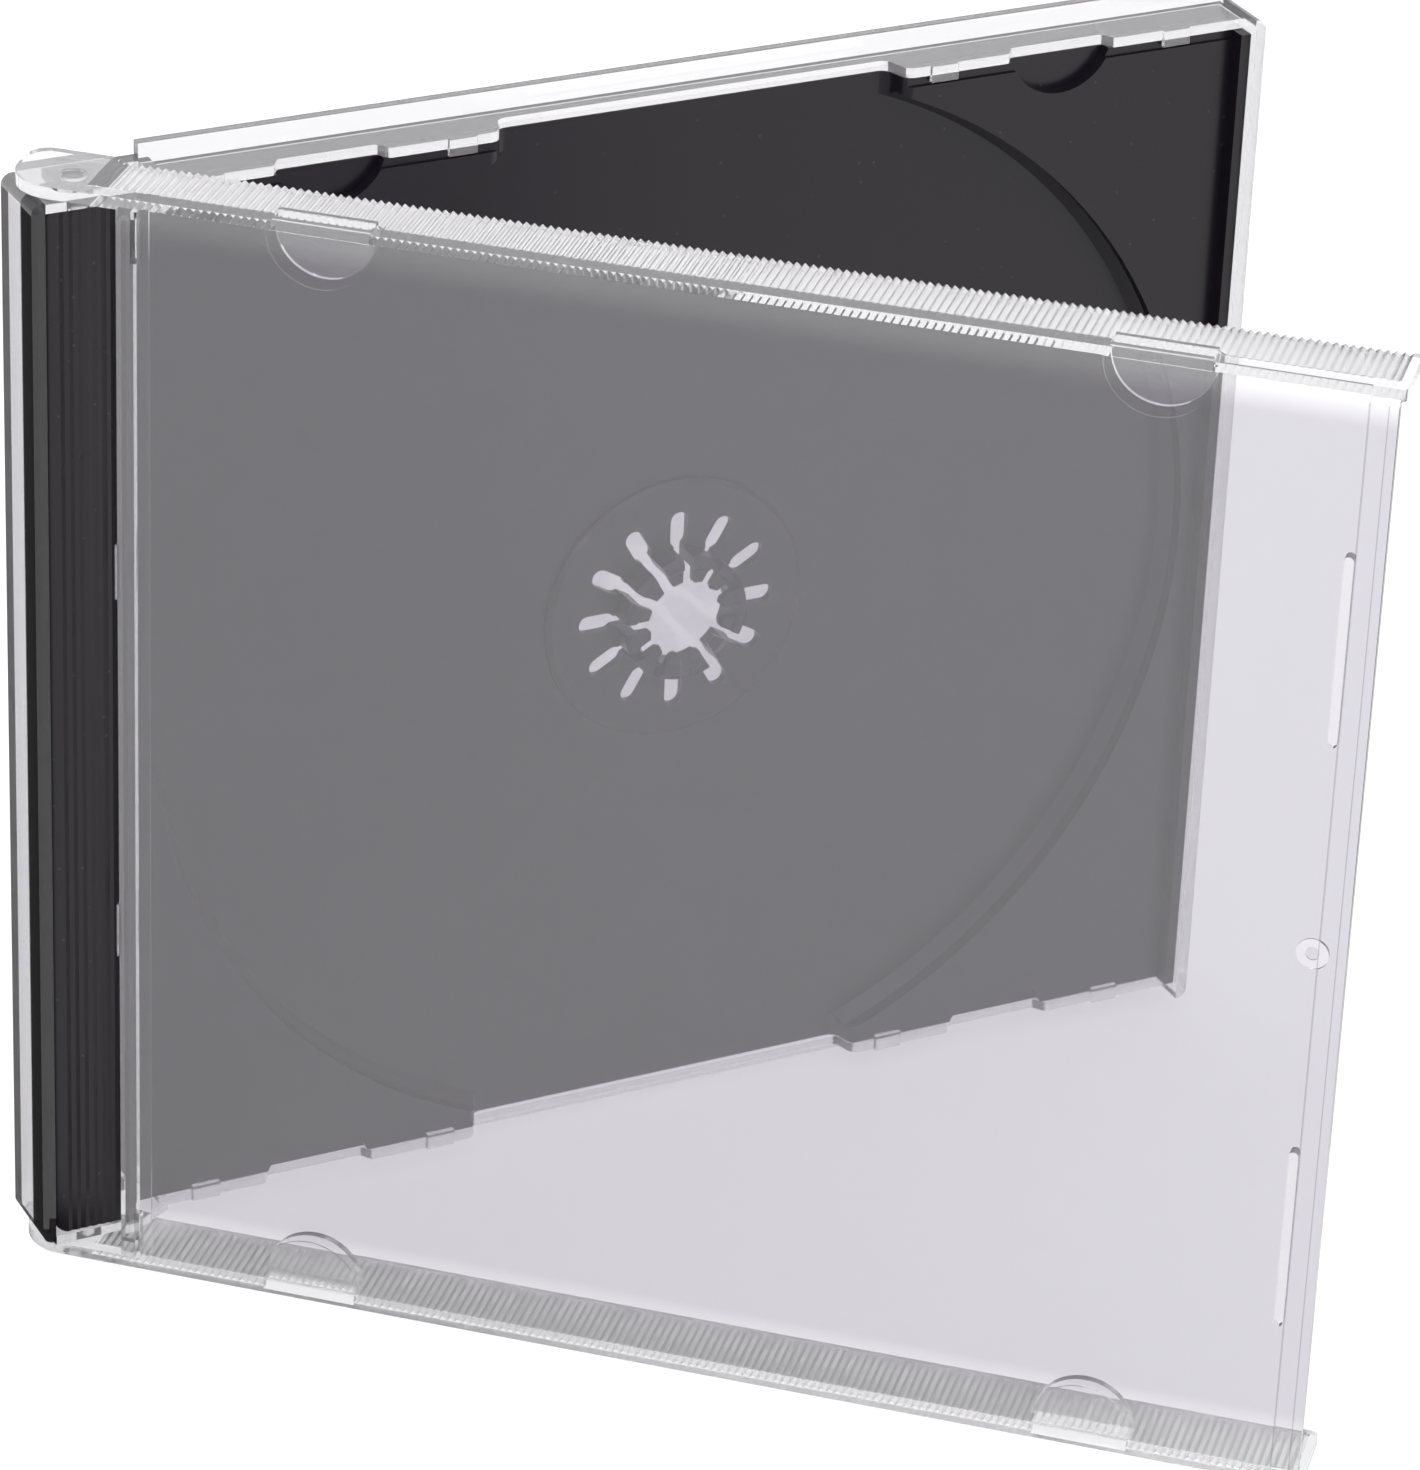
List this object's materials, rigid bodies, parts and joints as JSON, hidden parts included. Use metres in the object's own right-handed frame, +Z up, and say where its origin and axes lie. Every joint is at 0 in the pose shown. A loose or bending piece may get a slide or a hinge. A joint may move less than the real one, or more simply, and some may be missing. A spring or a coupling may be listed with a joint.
{
  "type": "cd case",
  "caption": "Clear plastic jewel case for one optical disc, with a black tray and centre hub, standing upright and partly open on its side hinge",
  "frame": {"origin": "On the hinge line, at the surface that the case stands on", "axes": "+X runs along the base away from the hinge, +Y out of the back of the base, +Z up along the hinge line"},
  "size_m": [0.142, 0.101, 0.125],
  "materials": {
    "lid_clear": "clear gloss polystyrene",
    "base_clear": "clear gloss polystyrene",
    "tray_black": "satin black polystyrene"
  },
  "bodies": {
    "base": {"base": "base_clear", "tray": "tray_black"},
    "lid": {"lid": "lid_clear"}
  },
  "joints": [
    {"name": "lid_hinge", "type": "hinge", "parent": "base", "child": "lid", "pos_m": [0, 0, 0.0625], "axis": [0, 0, -1], "range_deg": [-42, 138]}
  ]
}
